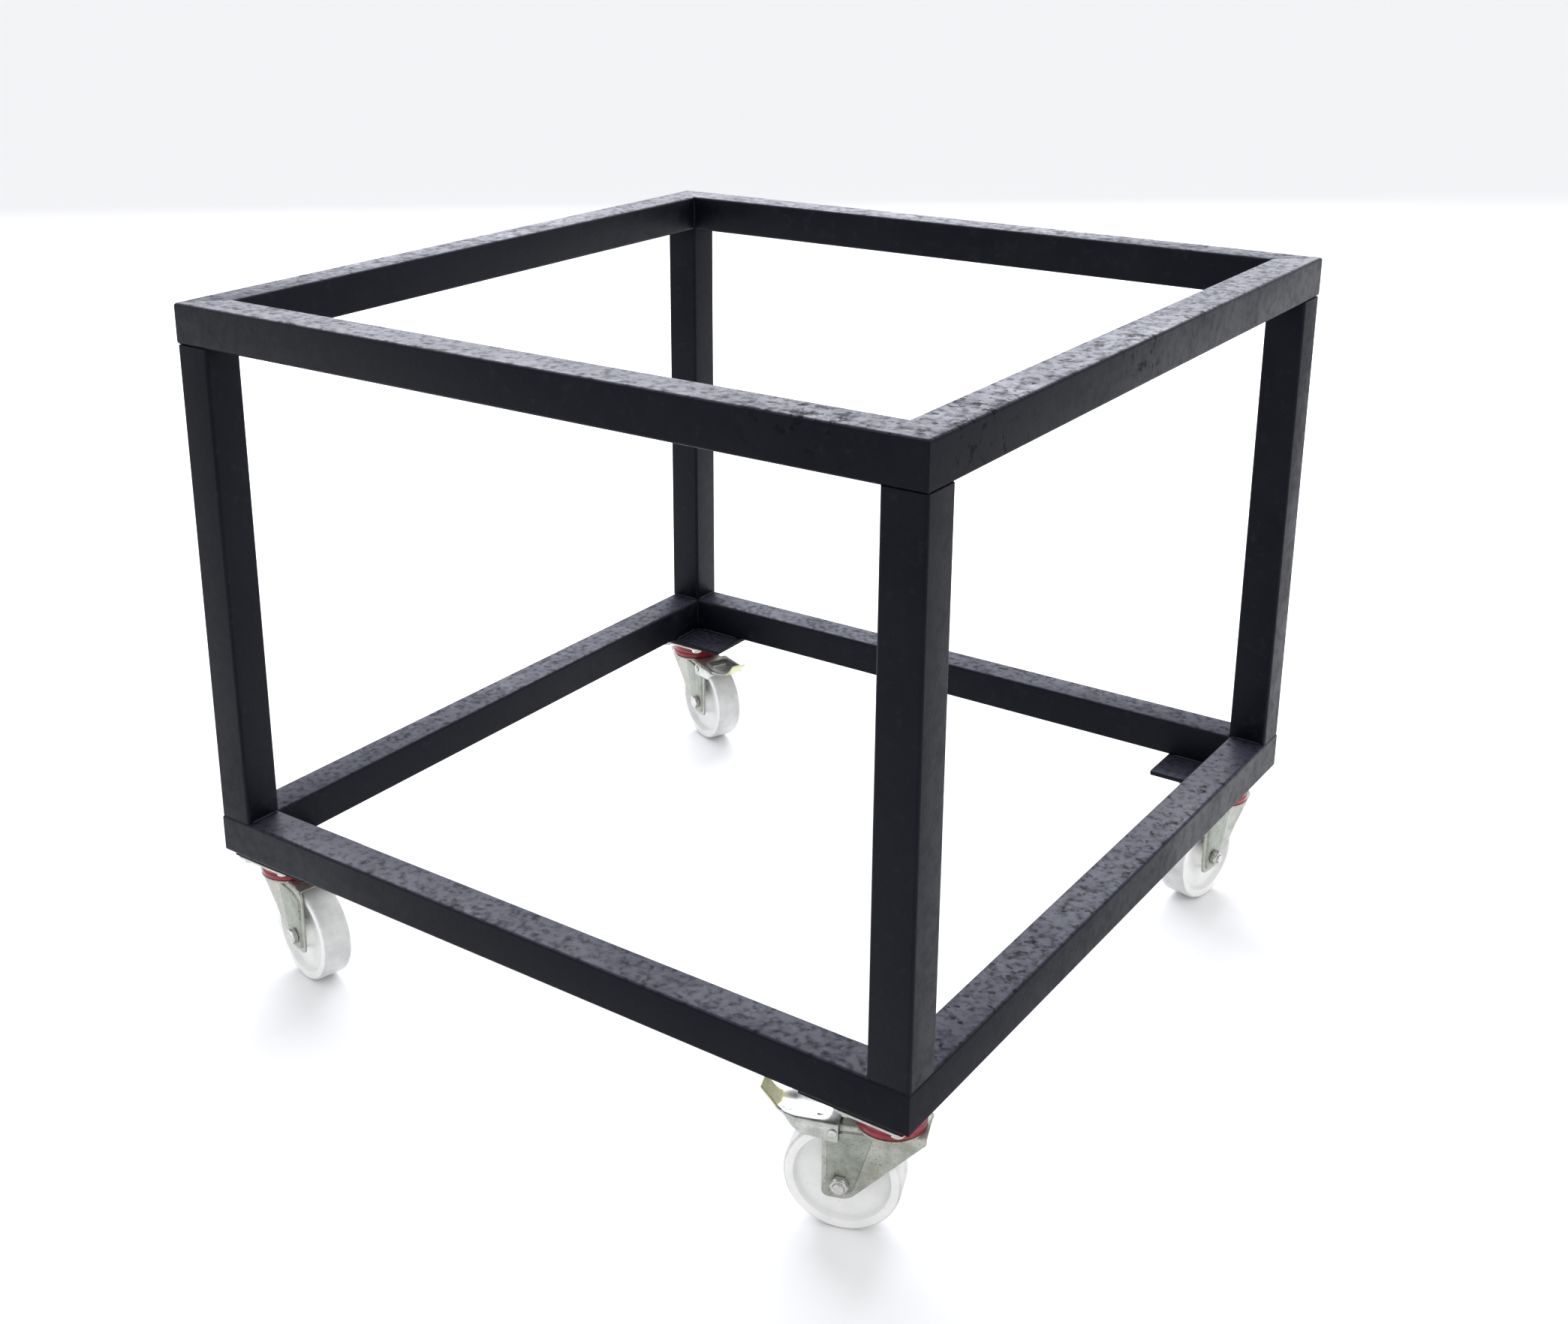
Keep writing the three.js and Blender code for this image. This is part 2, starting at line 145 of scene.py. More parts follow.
# ---------------------------------------------------------------- materials
class Look:
    """A node material with short calls for noise, ramps and bumps in the object's own coordinates."""

    def __init__(self, name):
        self.material = bpy.data.materials.new(name)
        self.material.use_nodes = True
        self.tree = self.material.node_tree
        self.shader = self.tree.nodes["Principled BSDF"]
        self.place = self.tree.nodes.new("ShaderNodeTexCoord").outputs["Object"]

    def set(self, **values):
        """Sets the shader's own sockets, each the same all over."""
        for name, value in values.items():
            self.shader.inputs[name.replace("_", " ")].default_value = value

    def link(self, output, name):
        self.tree.links.new(output, self.shader.inputs[name])

    def stretched(self, scale):
        """The object's coordinates, scaled per axis."""
        node = self.tree.nodes.new("ShaderNodeMapping")
        node.inputs["Scale"].default_value = scale
        self.tree.links.new(self.place, node.inputs["Vector"])
        return node.outputs["Vector"]

    def noise(self, scale, detail=3.0, roughness=0.55, place=None):
        node = self.tree.nodes.new("ShaderNodeTexNoise")
        node.inputs["Scale"].default_value = scale
        node.inputs["Detail"].default_value = detail
        node.inputs["Roughness"].default_value = roughness
        self.tree.links.new(place or self.place, node.inputs["Vector"])
        return node.outputs["Fac"]

    def span(self, value, low, high, to_low=0.0, to_high=1.0):
        """A smooth step from to_low to to_high as the value goes from low to high."""
        node = self.tree.nodes.new("ShaderNodeMapRange")
        node.interpolation_type = "SMOOTHSTEP"
        for name, number in (("From Min", low), ("From Max", high), ("To Min", to_low), ("To Max", to_high)):
            node.inputs[name].default_value = number
        self.tree.links.new(value, node.inputs["Value"])
        return node.outputs["Result"]

    def math(self, operation, first, second):
        node = self.tree.nodes.new("ShaderNodeMath")
        node.operation = operation
        for socket, value in zip(node.inputs, (first, second)):
            if isinstance(value, (int, float)):
                socket.default_value = value
            else:
                self.tree.links.new(value, socket)
        return node.outputs[0]

    def mix(self, factor, first, second):
        node = self.tree.nodes.new("ShaderNodeMix")
        node.data_type = "RGBA"
        self.tree.links.new(factor, node.inputs[0])
        for socket, value in ((node.inputs[6], first), (node.inputs[7], second)):
            if isinstance(value, tuple):
                socket.default_value = (*value, 1.0)
            else:
                self.tree.links.new(value, socket)
        return node.outputs[2]

    def near(self, point, radius):
        """1 at a point in the object's frame, falling to 0 at the radius."""
        node = self.tree.nodes.new("ShaderNodeVectorMath")
        node.operation = "DISTANCE"
        self.tree.links.new(self.place, node.inputs[0])
        node.inputs[1].default_value = point
        return self.span(node.outputs["Value"], 0.0, radius, 1.0, 0.0)

    def along(self, axis):
        """A coordinate in the object's frame."""
        node = self.tree.nodes.new("ShaderNodeSeparateXYZ")
        self.tree.links.new(self.place, node.inputs[0])
        return node.outputs[axis]

    def facing_up(self):
        """1 on the faces that look up, 0 on the rest."""
        node = self.tree.nodes.new("ShaderNodeSeparateXYZ")
        self.tree.links.new(self.tree.nodes["Texture Coordinate"].outputs["Normal"], node.inputs[0])
        return self.span(node.outputs["Z"], 0.5, 0.9)

    def bump(self, *layers):
        """Layers are (height, strength, distance in metres), from coarse to fine."""
        normal = None
        for height, strength, distance in layers:
            node = self.tree.nodes.new("ShaderNodeBump")
            node.inputs["Strength"].default_value = strength
            node.inputs["Distance"].default_value = distance
            self.tree.links.new(height, node.inputs["Height"])
            if normal is not None:
                self.tree.links.new(normal, node.inputs["Normal"])
            normal = node.outputs["Normal"]
        self.link(normal, "Normal")


PAINT_BLEMISH = (0.002, 0.002, 0.003)
# Lighter tone for upward faces: partly settled dust, partly a painted sheen of the bright sky above.
PAINT_DUST_AND_SHEEN = (0.026, 0.027, 0.039)
PITTED_FROM = (0.43, 0.455)  # the +X rails, where rain has pitted the tops
# Worn spots on the top ring: X and Y from its outer front corner, and reach.
WORN_SPOTS = ((-0.02, 0.11, 0.13), (-0.13, 0.02, 0.13), (-0.02, 0.45, 0.09))


def black_paint():
    """Brushed-on satin paint: blue-black, with uneven gloss, orange peel, and a lighter film on the tops
    that is partly dust and partly painted sheen.
    """
    look = Look("black_paint")
    cloud = look.noise(9, 5, 0.6)
    mottle = look.noise(70, 4, 0.6)
    dust = look.noise(420, 2, 0.5)
    tone = look.mix(look.span(cloud, 0.35, 0.7), (0.0020, 0.0023, 0.0045), (0.0045, 0.0048, 0.0075))
    tone = look.mix(look.span(mottle, 0.52, 0.75), tone, (0.0080, 0.0083, 0.0115))
    scuffs = look.noise(62, 4, 0.62)
    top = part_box("top_rail_front")[1].z
    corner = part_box("top_rail_right")
    spots = [look.near((corner[1].x + x, corner[0].y + y, top), reach) for x, y, reach in WORN_SPOTS]
    worn = look.math("MAXIMUM", look.math("MAXIMUM", *spots[:2]), spots[2])
    worn = look.math("MULTIPLY", worn, look.span(scuffs, 0.54, 0.62))
    up = look.facing_up()
    east = look.span(look.along("X"), *PITTED_FROM)
    pitted = look.span(look.math("MULTIPLY", up, east), 0.0, 1.0, 0.15, 1.0)
    pits = look.math("MULTIPLY", look.span(look.noise(110, 2, 0.5), 0.62, 0.68), pitted)
    blemish = look.math("MAXIMUM", worn, look.math("MULTIPLY", pits, 0.7))
    patches = look.span(look.noise(115, 4, 0.6), 0.42, 0.78)
    # Upward faces lighten to that tone outside the patches: dust plus painted sheen.
    dust_and_sheen = look.math("MULTIPLY", up, look.math("SUBTRACT", 1.0, patches))
    tone = look.mix(dust_and_sheen, tone, PAINT_DUST_AND_SHEEN)
    tone = look.mix(blemish, tone, PAINT_BLEMISH)
    look.link(tone, "Base Color")
    look.set(Specular_IOR_Level=0.12, Specular_Tint=(0.84, 0.87, 1.0, 1.0))
    gloss = look.span(cloud, 0.3, 0.75, 0.38, 0.50)
    gloss = look.math("ADD", gloss, look.math("MULTIPLY", look.span(mottle, 0.4, 0.75), 0.12))
    gloss = look.math("ADD", gloss, look.math("MULTIPLY", look.math("MULTIPLY", up, patches), 0.28))
    look.link(look.math("ADD", gloss, look.math("MULTIPLY", blemish, 0.3)), "Roughness")
    look.bump((mottle, 0.25, 0.0009), (look.noise(260, 2, 0.5), 0.35, 0.00035), (dust, 0.15, 0.0002),
              (blemish, 0.5, -0.0006))
    return look.material


def zinc(name, light, dark, roughness=0.42, grain=60):
    """Dull zinc plating on pressed steel: soft blotches, fine speckle and faint press lines."""
    look = Look(name)
    look.set(Metallic=0.88)
    blotch = look.noise(grain, 4, 0.6)
    speck = look.noise(520, 2, 0.5)
    lines = look.noise(900, 2, 0.4, look.stretched((1.0, 1.0, 0.06)))
    tone = look.mix(look.span(blotch, 0.3, 0.7), dark, light)
    tone = look.mix(look.span(speck, 0.55, 0.8), tone, tuple(0.55 * c for c in dark))
    look.link(tone, "Base Color")
    rough = look.span(blotch, 0.3, 0.75, roughness - 0.08, roughness + 0.1)
    look.link(look.math("ADD", rough, look.math("MULTIPLY", look.span(speck, 0.5, 0.8), 0.12)), "Roughness")
    look.bump((blotch, 0.2, 0.0004), (lines, 0.12, 0.0001), (speck, 0.2, 0.0001))
    return look.material


def white_nylon(name, light, dull, dirt):
    """Moulded nylon: warm white, faintly waxy, with a little workshop dust low in the grain."""
    look = Look(name)
    look.set(Specular_IOR_Level=0.45, Subsurface_Weight=0.12, Subsurface_Scale=0.004)
    cloud = look.noise(28, 4, 0.6)
    grain = look.noise(300, 3, 0.55)
    tone = look.mix(look.span(cloud, 0.35, 0.75), light, dull)
    tone = look.mix(look.span(grain, 0.62, 0.82), tone, dirt)
    look.link(tone, "Base Color")
    look.link(look.span(cloud, 0.3, 0.75, 0.30, 0.46), "Roughness")
    look.bump((cloud, 0.15, 0.0006), (grain, 0.12, 0.0001))
    return look.material


def red_seal():
    """Moulded red plastic, slightly faded and grubby."""
    look = Look("red_seal")
    look.set(Specular_IOR_Level=0.5, Coat_Weight=0.2, Coat_Roughness=0.2)
    cloud = look.noise(90, 3, 0.55)
    tone = look.mix(look.span(cloud, 0.3, 0.7), (0.30, 0.006, 0.018), (0.20, 0.004, 0.014))
    tone = look.mix(look.span(look.noise(500, 2, 0.5), 0.64, 0.8), tone, (0.13, 0.03, 0.03))
    look.link(tone, "Base Color")
    look.link(look.span(cloud, 0.3, 0.7, 0.28, 0.42), "Roughness")
    look.bump((cloud, 0.15, 0.0003), (look.noise(700, 2, 0.5), 0.1, 0.0001))
    return look.material


def pedal_zinc(toe, reach):
    """Bright zinc that turns to pale yellow passivation around the toe."""
    look = Look("pedal_zinc")
    blotch = look.noise(70, 4, 0.6)
    speck = look.noise(520, 2, 0.5)
    yellow = look.math("ADD", look.near(toe, reach), look.math("MULTIPLY", blotch, 0.3))
    yellow = look.span(yellow, 0.35, 0.62)
    zinc_tone = look.mix(look.span(blotch, 0.3, 0.7), (0.42, 0.43, 0.40), (0.62, 0.63, 0.60))
    toe_tone = look.mix(look.span(blotch, 0.3, 0.7), (0.60, 0.60, 0.34), (0.72, 0.72, 0.48))
    tone = look.mix(yellow, zinc_tone, toe_tone)
    look.link(look.mix(look.span(speck, 0.58, 0.8), tone, (0.3, 0.3, 0.24)), "Base Color")
    look.link(look.span(yellow, 0.0, 1.0, 0.9, 0.45), "Metallic")
    look.link(look.span(blotch, 0.3, 0.75, 0.26, 0.42), "Roughness")
    look.bump((blotch, 0.2, 0.0004), (speck, 0.15, 0.0001))
    return look.material


PAINT = black_paint()
FORK_ZINC = zinc("fork_zinc", (0.50, 0.51, 0.46), (0.33, 0.34, 0.29))
RIB_ZINC = zinc("rib_zinc", (0.38, 0.40, 0.35), (0.24, 0.26, 0.22))
PLATE_ZINC = zinc("plate_zinc", (0.58, 0.59, 0.56), (0.42, 0.43, 0.40), 0.38)
STEEL = zinc("fastener_steel", (0.66, 0.66, 0.64), (0.46, 0.46, 0.44), 0.30, 120)
NYLON = white_nylon("white_nylon", (0.86, 0.86, 0.84), (0.77, 0.775, 0.76), (0.60, 0.59, 0.56))
# The tread band gets a darker grey nylon than the rest of the wheel.
TREAD = white_nylon("grey_tread_nylon", (0.70, 0.70, 0.68), (0.52, 0.53, 0.52), (0.34, 0.34, 0.33))
SEAL = red_seal()


# ---------------------------------------------------------------- mesh helpers
def new_object(name, vertices, faces):
    """An object in the scene from plain points and faces."""
    mesh = bpy.data.meshes.new(name)
    mesh.from_pydata([tuple(v) for v in vertices], [], faces)
    mesh.validate()
    piece = bpy.data.objects.new(name, mesh)
    scene.collection.objects.link(piece)
    return piece


def outward(piece):
    """Makes the faces point out and merges doubled points."""
    shape = bmesh.new()
    shape.from_mesh(piece.data)
    bmesh.ops.remove_doubles(shape, verts=shape.verts, dist=1e-6)
    bmesh.ops.recalc_face_normals(shape, faces=shape.faces)
    shape.to_mesh(piece.data)
    shape.free()
    return piece


def soften(piece, angle):
    """Smooth shading, with edges sharper than the angle kept crisp."""
    for polygon in piece.data.polygons:
        polygon.use_smooth = True
    piece.data.set_sharp_from_angle(angle=math.radians(angle))
    return piece


def round_edges(piece, width, segments, angle=30):
    """A small rounding on every sharp edge, made part of the mesh."""
    bevel = piece.modifiers.new("edges", "BEVEL")
    bevel.width = width
    bevel.segments = segments
    bevel.limit_method = "ANGLE"
    bevel.angle_limit = math.radians(angle)
    return apply_modifiers(piece)


def apply_modifiers(piece):
    """Makes the piece's modifiers part of its mesh."""
    depsgraph = bpy.context.evaluated_depsgraph_get()
    depsgraph.update()
    mesh = bpy.data.meshes.new_from_object(piece.evaluated_get(depsgraph))
    piece.modifiers.clear()
    piece.data = mesh
    return piece


def boolean(piece, tool, operation):
    """Joins, cuts or keeps the common part with a tool piece, which is then removed."""
    modifier = piece.modifiers.new("boolean", "BOOLEAN")
    modifier.operation = operation
    modifier.object = tool
    modifier.solver = "EXACT"
    apply_modifiers(piece)
    bpy.data.objects.remove(tool)
    return piece


def rounded(points, radii, steps=6):
    """A closed outline whose corners are arcs; each corner has its own radius, 0 for a sharp one."""
    outline = []
    count = len(points)
    for i, radius in enumerate(radii):
        corner = Vector(points[i])
        before = Vector(points[i - 1]) - corner
        after = Vector(points[(i + 1) % count]) - corner
        angle = before.angle(after)
        if radius <= 0 or angle > math.pi - 1e-3:
            outline.append(corner)
            continue
        reach = min(radius / math.tan(angle / 2), 0.49 * before.length, 0.49 * after.length)
        actual = reach * math.tan(angle / 2)
        middle = (before.normalized() + after.normalized()).normalized()
        centre = corner + middle * (actual / math.sin(angle / 2))
        start = corner + before.normalized() * reach - centre
        end = corner + after.normalized() * reach - centre
        sweep = start.angle_signed(end)
        for k in range(steps + 1):
            turn = Matrix.Rotation(-sweep * k / steps, 2)
            outline.append(centre + turn @ start)
    return outline


def rectangle(half_x, half_y, radius, steps):
    """A rounded rectangle about the origin."""
    corners = [(-half_x, -half_y), (half_x, -half_y), (half_x, half_y), (-half_x, half_y)]
    return rounded(corners, [radius] * 4, steps)


def arc(centre, radius, start, end, steps):
    """Points of a circular arc, angles in degrees."""
    angles = [math.radians(start + (end - start) * k / steps) for k in range(steps + 1)]
    return [Vector((centre[0] + radius * math.cos(a), centre[1] + radius * math.sin(a))) for a in angles]


def turned(name, profile, segments=96):
    """A solid turned about Z from a closed (radius, height) outline."""
    vertices, faces = [], []
    count = len(profile)
    for s in range(segments):
        angle = 2 * math.pi * s / segments
        for r, z in profile:
            vertices.append((r * math.cos(angle), r * math.sin(angle), z))
    for s in range(segments):
        here, there = s * count, (s + 1) % segments * count
        for k in range(count):
            n = (k + 1) % count
            faces.append((here + k, there + k, there + n, here + n))
    piece = new_object(name, vertices, faces)
    shape = bmesh.new()
    shape.from_mesh(piece.data)
    bmesh.ops.remove_doubles(shape, verts=shape.verts, dist=1e-7)
    bmesh.ops.dissolve_degenerate(shape, edges=shape.edges, dist=1e-7)
    bmesh.ops.recalc_face_normals(shape, faces=shape.faces)
    shape.to_mesh(piece.data)
    shape.free()
    return piece


def prism(name, outline, low, high, to_world):
    """A solid with the same outline at two heights; to_world turns (a, b, height) into a point."""
    count = len(outline)
    vertices = [to_world(p[0], p[1], h) for h in (low, high) for p in outline]
    faces = [tuple(range(count)), tuple(range(2 * count - 1, count - 1, -1))]
    faces += [(k, k + count, (k + 1) % count + count, (k + 1) % count) for k in range(count)]
    return outward(new_object(name, vertices, faces))


def flat(a, b, height):
    """An outline in X and Y, with its thickness along Z."""
    return (a, b, height)


def upright(a, b, height):
    """An outline in X and Z, with its thickness along Y."""
    return (a, height, b)


def endways(a, b, height):
    """An outline in Y and Z, with its thickness along X."""
    return (height, a, b)


def join(name, pieces):
    """One object from several closed pieces."""
    shape = bmesh.new()
    for piece in pieces:
        piece.data.transform(piece.matrix_world)
        shape.from_mesh(piece.data)
    mesh = bpy.data.meshes.new(name)
    shape.to_mesh(mesh)
    shape.free()
    for piece in pieces:
        bpy.data.objects.remove(piece)
    joined = bpy.data.objects.new(name, mesh)
    scene.collection.objects.link(joined)
    return joined


def dress(piece, name, material, body, replaced=()):
    """Names a finished piece, gives it its material and ties it to its body."""
    piece.name = name
    piece.data.name = name
    parts = [polygon.material_index for polygon in piece.data.polygons]
    piece.data.materials.clear()
    for one in material if isinstance(material, tuple) else (material,):
        piece.data.materials.append(one)
    piece.data.polygons.foreach_set("material_index", parts)
    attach(piece, body)
    if replaced:
        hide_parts(*replaced)
    return piece


# ---------------------------------------------------------------- frame tubes
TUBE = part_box("post_front")[1].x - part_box("post_front")[0].x
TUBE_WALL = 3 * MM
TUBE_ROUND = 4 * MM
BORE_ROUND = 1.5 * MM
SEAM_DEPTH = 0.12 * MM
SEAM_WIDTH = 0.4 * MM
SEAM_CLOSING = 0.12 * MM  # how far paint and weld close the gap at each end


def tube(name, length, mitred):
    """A square tube along X, its outside face at -Y, with a fine groove where it meets its neighbours."""
    half = TUBE / 2
    bore = half - TUBE_WALL
    drawn_in = half - SEAM_DEPTH
    outside = rectangle(half, half, TUBE_ROUND, 8)
    grooved = rectangle(drawn_in, drawn_in, TUBE_ROUND, 8)
    inner = rectangle(bore, bore, BORE_ROUND, 8)
    near_end = [(inner, 0.0), (grooved, 0.0), (outside, SEAM_WIDTH)]
    sections = [(-1, *section) for section in near_end] + [(1, *section) for section in reversed(near_end)]
    vertices = []
    for end, outline, inset in sections:
        for y, z in outline:
            reach = length / 2 + SEAM_CLOSING - (y if mitred else 0) - inset
            vertices.append((end * reach, y, z))
    count = len(outside)
    faces = []
    rings = len(sections)
    for s in range(rings):
        t = (s + 1) % rings
        for k in range(count):
            n = (k + 1) % count
            faces.append((s * count + k, s * count + n, t * count + n, t * count + k))
    shape = bmesh.new()
    piece = new_object(name, vertices, faces)
    shape.from_mesh(piece.data)
    bmesh.ops.recalc_face_normals(shape, faces=shape.faces)
    shape.to_mesh(piece.data)
    shape.free()
    return soften(piece, 40)


def place_tube(tube_piece, spot, node):
    tube_piece.data.transform(spot)
    dress(tube_piece, f"{node}_tube", PAINT, "frame", [node])


def make_frame():
    """Mitred rails in two rings, each side a quarter turn on, and the posts between them."""
    for ring in ("bottom", "top"):
        for quarter, side in enumerate(RAIL_SIDES):
            node = f"{ring}_rail_{side}"
            low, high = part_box(node)
            span = max(high.x - low.x, high.y - low.y)
            rail = tube(node, span - TUBE, True)
            across = (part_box(f"{ring}_rail_front")[0].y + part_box(f"{ring}_rail_front")[1].y) / 2
            spot = Matrix.Rotation(quarter * math.pi / 2, 4, "Z")
            spot = spot @ Matrix.Translation((0, across, (low.z + high.z) / 2))
            place_tube(rail, spot, node)
    for corner in CASTOR_NAMES:
        node = f"post_{corner}"
        low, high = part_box(node)
        post = tube(node, high.z - low.z, False)
        spot = Matrix.Translation((low + high) / 2) @ Matrix.Rotation(math.pi / 2, 4, "Y")
        place_tube(post, spot, node)


make_frame()


# ---------------------------------------------------------------- welds
random.seed(7)
POST_BEAD = 2.6 * MM
MITRE_BEAD = 2.4 * MM
PLATE_BEAD = 2.8 * MM
RIPPLE = 3.6 * MM
RING_STEP = 1.1 * MM


def bead(start, end, radius, sides=10):
    """A hand-laid weld bead: a fat line of overlapping ripples between two points."""
    start, end = Vector(start), Vector(end)
    along = (end - start).normalized()
    across = along.orthogonal().normalized()
    other = along.cross(across)
    length = (end - start).length
    rings = max(8, int(length / RING_STEP))
    vertices, faces = [], []
    phase = random.random() * 6
    for i in range(rings + 1):
        t = i / rings
        taper = min(1.0, 5 * min(t, 1 - t) + 0.45)
        ripple = 0.86 + 0.14 * abs(math.sin(math.pi * t * length / RIPPLE + phase))
        r = radius * taper * ripple * (1 + 0.08 * (random.random() - 0.5))
        wander = 0.05 * radius * math.sin(9 * t + phase)
        centre = start + along * (t * length) + across * wander
        for k in range(sides):
            a = 2 * math.pi * k / sides
            vertices.append(centre + across * (r * math.cos(a)) + other * (r * math.sin(a)))
    for i in range(rings):
        for k in range(sides):
            n = (k + 1) % sides
            faces.append((i * sides + k, i * sides + n, (i + 1) * sides + n, (i + 1) * sides + k))
    faces.append(tuple(range(sides)))
    faces.append(tuple(rings * sides + k for k in range(sides)))
    return outward(new_object("bead", vertices, faces))


def make_welds():
    """Fillet beads in every inside corner of the frame and along the corner plates."""
    beads = []
    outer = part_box("top_rail_front")[1].x
    inner = outer - TUBE
    start, end = inner + TUBE_ROUND, outer - TUBE_ROUND
    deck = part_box("bottom_rail_front")[1].z
    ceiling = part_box("top_rail_front")[0].z
    for corner in CASTOR_NAMES:
        low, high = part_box(f"post_{corner}")
        sx = math.copysign(1, low.x + high.x)
        sy = math.copysign(1, low.y + high.y)

        def lay(first, second, radius):
            points = [(sx * x, sy * y, z) for x, y, z in (first, second)]
            beads.append(bead(*points, radius))

        for level in (deck, ceiling):
            lay((inner, start, level), (inner, end, level), POST_BEAD)
            lay((start, inner, level), (end, inner, level), POST_BEAD)
        for ring in ("bottom", "top"):
            z_low, z_high = (bound.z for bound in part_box(f"{ring}_rail_front"))
            lay((inner, inner, z_low + TUBE_ROUND), (inner, inner, z_high - TUBE_ROUND), MITRE_BEAD)
        plate_low, plate_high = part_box(f"corner_plate_{corner}")
        far_x = min(abs(plate_low.x), abs(plate_high.x)) + 6 * MM
        far_y = min(abs(plate_low.y), abs(plate_high.y)) + 6 * MM
        near, top = inner - 4 * MM, plate_high.z
        lay((inner, far_y, top), (inner, near, top), PLATE_BEAD)
        lay((far_x, inner, top), (near, inner, top), PLATE_BEAD)
    welds = join("weld_beads", beads)
    dress(soften(welds, 60), "weld_beads", PAINT, "frame")


make_welds()


# ---------------------------------------------------------------- corner plates
def make_corner_plates():
    """Flat plates with rounded corners, one under each corner of the bottom ring."""
    for corner in CASTOR_NAMES:
        node = f"corner_plate_{corner}"
        low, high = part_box(node)
        points = [(low.x, low.y), (high.x, low.y), (high.x, high.y), (low.x, high.y)]
        plate = prism(node, rounded(points, [2.5 * MM] * 4, 5), low.z, high.z, flat)
        plate = soften(round_edges(plate, 0.8 * MM, 3), 35)
        dress(plate, f"{node}_steel", PAINT, "frame", [node])


make_corner_plates()


# ---------------------------------------------------------------- castors
class Castor:
    """One castor's place: its own X points the way it trails, and Z is up from the ground."""

    def __init__(self, name):
        joints = {joint["name"]: joint for joint in frame["joints"]}
        pivot = Vector(joints[f"{name}_swivel_turn"]["pos_m"])
        axle = Vector(joints[f"{name}_wheel_spin"]["pos_m"])
        trail = (axle - pivot).to_2d()
        self.name = name
        self.trail = trail.length
        self.axle = axle.z
        self.swivel_body = f"{name}_swivel"
        self.wheel_body = f"{name}_wheel_body"
        self.fixed = Matrix.Translation((pivot.x, pivot.y, 0))
        self.turned = self.fixed @ Matrix.Rotation(math.atan2(trail.y, trail.x), 4, "Z")
        self.brake = joints.get(f"{name}_brake_press")
        if self.brake:
            hinge = Vector(self.brake["pos_m"]) - pivot
            self.hinge = (hinge.to_2d().length, self.brake["pos_m"][2])


WHEEL_WIDTH = 38 * MM
HUB_WIDTH = 42.6 * MM
LEG_INSIDE = 22 * MM
LEG_THICK = 2.5 * MM
RIB_THICK = 2.5 * MM
CROWN_TOP = 131 * MM
CROWN_THICK = 3 * MM
CROWN_RADIUS = 38 * MM
LEG_FRONT = -40 * MM
SHOULDER = 124 * MM
FOOT = 20 * MM
FOOT_CORNER = 7 * MM
EAR_TOP = 129.5 * MM
CUT_PAST = 2 * MM
RIB_FOOT = 15.5 * MM
RIB_CORNER = 5 * MM
RIB_DRAFT = 1.6 * MM
RIB_TOP = CROWN_TOP - 4 * MM
MERGE = 0.6 * MM
AXLE_HOLE = 6.3 * MM
HINGE_HOLE = 3.3 * MM
CUT_HALF = 50 * MM
AXLE_HEAD = 10 * MM
SHANK = 5.9 * MM
PLATE_THICK = 3 * MM
BOLT_X, BOLT_Y = 30 * MM, 40 * MM
TREAD_DEPTH = 2.2 * MM


def make_wheel(castor):
    """A one-piece nylon wheel: rounded tread, flat rim band, dished web and a stout hub."""
    radius = castor.axle
    half, hub = WHEEL_WIDTH / 2, HUB_WIDTH / 2
    rim = radius - 11 * MM
    web = half - 9 * MM
    bore = 8.3 * MM
    points = [
        (bore, -hub), (19 * MM, -hub), (21 * MM, -web), (rim - 2 * MM, -web), (rim, -half), (radius, -half),
        (radius, half), (rim, half), (rim - 2 * MM, web), (21 * MM, web), (19 * MM, hub), (bore, hub),
    ]
    radii = [r * MM for r in (0.4, 1.2, 3, 3, 1.2, 3.5, 3.5, 1.2, 3, 3, 1.2, 0.4)]
    wheel = turned("wheel", rounded(points, radii, 5), 128)
    for polygon in wheel.data.polygons:
        # Faces at the tread take the darker grey nylon.
        polygon.material_index = 1 if polygon.center.to_2d().length > radius - TREAD_DEPTH else 0
    wheel.data.transform(Matrix.Rotation(math.pi / 2, 4, "X"))
    wheel.data.transform(castor.turned @ Matrix.Translation((castor.trail, 0, castor.axle)))
    dress(soften(wheel, 40), f"{castor.name}_wheel_nylon", (NYLON, TREAD), castor.wheel_body,
          [f"{castor.name}_wheel"])


def tangent_angle(castor, x, z, radius):
    """The angle on a circle about the axle where a line from (x, z) touches its underside, in degrees."""
    dx, dz = castor.trail - x, castor.axle - z
    return math.degrees(math.atan2(dz, dx) - math.asin(radius / math.hypot(dx, dz))) - 90


def leg_outline(castor):
    """The leg seen from the side: a straight leading edge, a round foot and an ear for the brake."""
    rear = castor.trail + FOOT
    above = CROWN_TOP + CUT_PAST
    touch = tangent_angle(castor, LEG_FRONT, SHOULDER, FOOT)
    outline = [Vector((LEG_FRONT, above)), Vector((LEG_FRONT, SHOULDER))]
    outline += arc((castor.trail, castor.axle), FOOT, touch, -90, 12)
    foot_z = castor.axle - FOOT
    outline += arc((rear - FOOT_CORNER, foot_z + FOOT_CORNER), FOOT_CORNER, -90, 0, 6)
    outline += [Vector((rear, 120 * MM)), Vector((castor.trail + 14 * MM, EAR_TOP))]
    outline += [Vector((castor.trail + 3 * MM, EAR_TOP)), Vector((castor.trail - 1 * MM, above))]
    return outline


